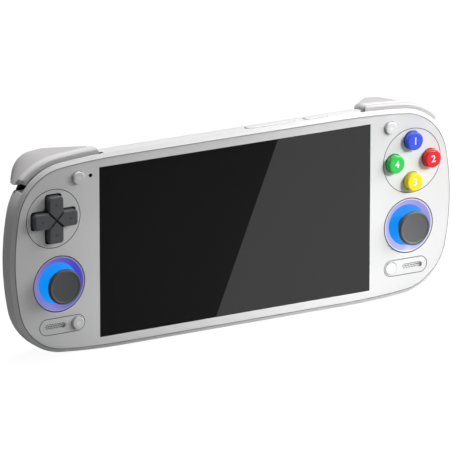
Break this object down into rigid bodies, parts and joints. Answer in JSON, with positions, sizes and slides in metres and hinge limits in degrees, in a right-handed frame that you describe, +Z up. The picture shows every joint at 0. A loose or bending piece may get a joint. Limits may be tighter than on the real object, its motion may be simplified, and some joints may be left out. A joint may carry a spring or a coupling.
{
  "type": "handheld game console",
  "caption": "Wide flat handheld game console with a glass face, cross pad, round buttons, lit thumbsticks, shoulder bumpers and triggers that all move.",
  "frame": {"origin": "the middle of the overall width and depth, at the level of the flat land under the bottom edge on which the console stands upright", "axes": "+X to the player's right along the console's length, +Z up along the screen's height, and the screen faces -Y"},
  "size_m": [0.1988, 0.0318, 0.0805],
  "materials": {
    "white_shell": "satin",
    "face_glass": "gloss",
    "display": "gloss",
    "dark_grey_key": "satin",
    "small_key": "satin",
    "stick_rubber": "matt",
    "light_ring": "gloss",
    "button_blue": "gloss",
    "button_red": "gloss",
    "button_green": "gloss",
    "button_yellow": "gloss",
    "trigger_plastic": "satin",
    "board": "matt",
    "steel": "satin",
    "dark_plastic": "matt",
    "aluminium": "satin",
    "copper": "satin",
    "silicone": "matt",
    "battery_wrap": "satin"
  },
  "bodies": {
    "console": {"battery": "battery_wrap", "bumper_switches": "dark_plastic", "button_membrane": "silicone", "card_socket": "steel", "chip_shield": "steel", "cover_glass": "face_glass", "cross_pad_membrane": "silicone", "display_panel": "display", "fan_housing": "dark_plastic", "fin_stack": "aluminium", "front_shell": "white_shell", "headphone_jack": "dark_plastic", "heat_pipe": "copper", "key_switches": "steel", "left_control_board": "board", "left_led_board": "board", "left_light_ring": "light_ring", "left_speaker": "dark_plastic", "left_stick_housing": "steel", "mainboard": "board", "microphone": "steel", "midframe": "aluminium", "port_board": "board", "rear_shell": "white_shell", "right_control_board": "board", "right_led_board": "board", "right_light_ring": "light_ring", "right_speaker": "dark_plastic", "right_stick_housing": "steel", "screws": "steel", "side_key_board": "board", "speaker_meshes": "dark_plastic", "trigger_pins": "steel", "trigger_springs": "steel", "usb_c_port": "steel"},
    "pad_ball": {"cross_pad_ball": "steel"},
    "cross_pad": {"cross_pad": "dark_grey_key"},
    "top_button": {"top_button": "button_blue"},
    "right_button": {"right_button": "button_red"},
    "left_button": {"left_button": "button_green"},
    "bottom_button": {"bottom_button": "button_yellow"},
    "select_button": {"select_button": "small_key"},
    "start_button": {"start_button": "small_key"},
    "home_button": {"home_button": "small_key"},
    "back_button": {"back_button": "small_key"},
    "left_yoke": {"left_stick_yoke": "dark_plastic"},
    "left_hub": {"left_stick_hub": "dark_plastic"},
    "left_stick": {"left_stick_stem": "steel", "left_stick_cap": "stick_rubber"},
    "left_bumper": {"left_bumper": "white_shell"},
    "left_trigger": {"left_trigger": "trigger_plastic"},
    "right_yoke": {"right_stick_yoke": "dark_plastic"},
    "right_hub": {"right_stick_hub": "dark_plastic"},
    "right_stick": {"right_stick_stem": "steel", "right_stick_cap": "stick_rubber"},
    "right_bumper": {"right_bumper": "white_shell"},
    "right_trigger": {"right_trigger": "trigger_plastic"},
    "volume_rocker": {"volume_rocker": "small_key"},
    "power_button": {"power_button": "small_key"},
    "fan": {"fan_rotor": "dark_plastic"}
  },
  "joints": [
    {"name": "cross_pad_up_down", "type": "hinge", "parent": "console", "child": "pad_ball", "pos_m": [-0.08105, -0.0056, 0.05595], "axis": [1, 0, 0], "range_deg": [-3.5, 3.5], "stiffness_Nm_per_rad": 0.03},
    {"name": "cross_pad_left_right", "type": "hinge", "parent": "pad_ball", "child": "cross_pad", "pos_m": [-0.08105, -0.0056, 0.05595], "axis": [0, 0, 1], "range_deg": [-3.5, 3.5], "stiffness_Nm_per_rad": 0.03},
    {"name": "top_button_press", "type": "slide", "parent": "console", "child": "top_button", "axis": [0, 1, 0], "range_m": [0, 0.0012], "stiffness_N_per_m": 400},
    {"name": "right_button_press", "type": "slide", "parent": "console", "child": "right_button", "axis": [0, 1, 0], "range_m": [0, 0.0012], "stiffness_N_per_m": 400},
    {"name": "left_button_press", "type": "slide", "parent": "console", "child": "left_button", "axis": [0, 1, 0], "range_m": [0, 0.0012], "stiffness_N_per_m": 400},
    {"name": "bottom_button_press", "type": "slide", "parent": "console", "child": "bottom_button", "axis": [0, 1, 0], "range_m": [0, 0.0012], "stiffness_N_per_m": 400},
    {"name": "select_button_press", "type": "slide", "parent": "console", "child": "select_button", "axis": [0, 1, 0], "range_m": [0, 0.0005], "stiffness_N_per_m": 800},
    {"name": "start_button_press", "type": "slide", "parent": "console", "child": "start_button", "axis": [0, 1, 0], "range_m": [0, 0.0005], "stiffness_N_per_m": 800},
    {"name": "home_button_press", "type": "slide", "parent": "console", "child": "home_button", "axis": [0, 1, 0], "range_m": [0, 0.0005], "stiffness_N_per_m": 800},
    {"name": "back_button_press", "type": "slide", "parent": "console", "child": "back_button", "axis": [0, 1, 0], "range_m": [0, 0.0005], "stiffness_N_per_m": 800},
    {"name": "left_stick_up_down", "type": "hinge", "parent": "console", "child": "left_yoke", "pos_m": [-0.0787, -0.0036, 0.0294], "axis": [1, 0, 0], "range_deg": [-13, 13], "stiffness_Nm_per_rad": 0.02},
    {"name": "left_stick_left_right", "type": "hinge", "parent": "left_yoke", "child": "left_hub", "pos_m": [-0.0787, -0.0036, 0.0294], "axis": [0, 0, 1], "range_deg": [-13, 13], "stiffness_Nm_per_rad": 0.02},
    {"name": "left_stick_press", "type": "slide", "parent": "left_hub", "child": "left_stick", "axis": [0, 1, 0], "range_m": [0, 0.0005], "stiffness_N_per_m": 1500},
    {"name": "left_bumper_press", "type": "hinge", "parent": "console", "child": "left_bumper", "pos_m": [-0.0616, -0.0063, 0.0775], "axis": [0, -1, 0], "range_deg": [0, 1.4], "stiffness_Nm_per_rad": 0.4},
    {"name": "left_trigger_pull", "type": "hinge", "parent": "console", "child": "left_trigger", "pos_m": [-0.075, 0, 0.0707], "axis": [-1, 0, 0], "range_deg": [0, 13], "stiffness_Nm_per_rad": 0.06, "springref_deg": -8.59},
    {"name": "right_stick_up_down", "type": "hinge", "parent": "console", "child": "right_yoke", "pos_m": [0.0787, -0.0036, 0.0294], "axis": [1, 0, 0], "range_deg": [-13, 13], "stiffness_Nm_per_rad": 0.02},
    {"name": "right_stick_left_right", "type": "hinge", "parent": "right_yoke", "child": "right_hub", "pos_m": [0.0787, -0.0036, 0.0294], "axis": [0, 0, 1], "range_deg": [-13, 13], "stiffness_Nm_per_rad": 0.02},
    {"name": "right_stick_press", "type": "slide", "parent": "right_hub", "child": "right_stick", "axis": [0, 1, 0], "range_m": [0, 0.0005], "stiffness_N_per_m": 1500},
    {"name": "right_bumper_press", "type": "hinge", "parent": "console", "child": "right_bumper", "pos_m": [0.0616, -0.0063, 0.0775], "axis": [0, 1, 0], "range_deg": [0, 1.4], "stiffness_Nm_per_rad": 0.4},
    {"name": "right_trigger_pull", "type": "hinge", "parent": "console", "child": "right_trigger", "pos_m": [0.075, 0, 0.0707], "axis": [-1, 0, 0], "range_deg": [0, 13], "stiffness_Nm_per_rad": 0.06, "springref_deg": -8.59},
    {"name": "volume_rock", "type": "hinge", "parent": "console", "child": "volume_rocker", "pos_m": [0.0174, -0.0064, 0.0756], "axis": [0, 1, 0], "range_deg": [-1.8, 1.8], "stiffness_Nm_per_rad": 0.05},
    {"name": "power_button_press", "type": "slide", "parent": "console", "child": "power_button", "axis": [0, 0, -1], "range_m": [0, 0.0003], "stiffness_N_per_m": 800},
    {"name": "fan_spin", "type": "hinge", "parent": "console", "child": "fan", "pos_m": [0.039, -0.0009, 0.0508], "axis": [0, 1, 0], "continuous": true}
  ]
}
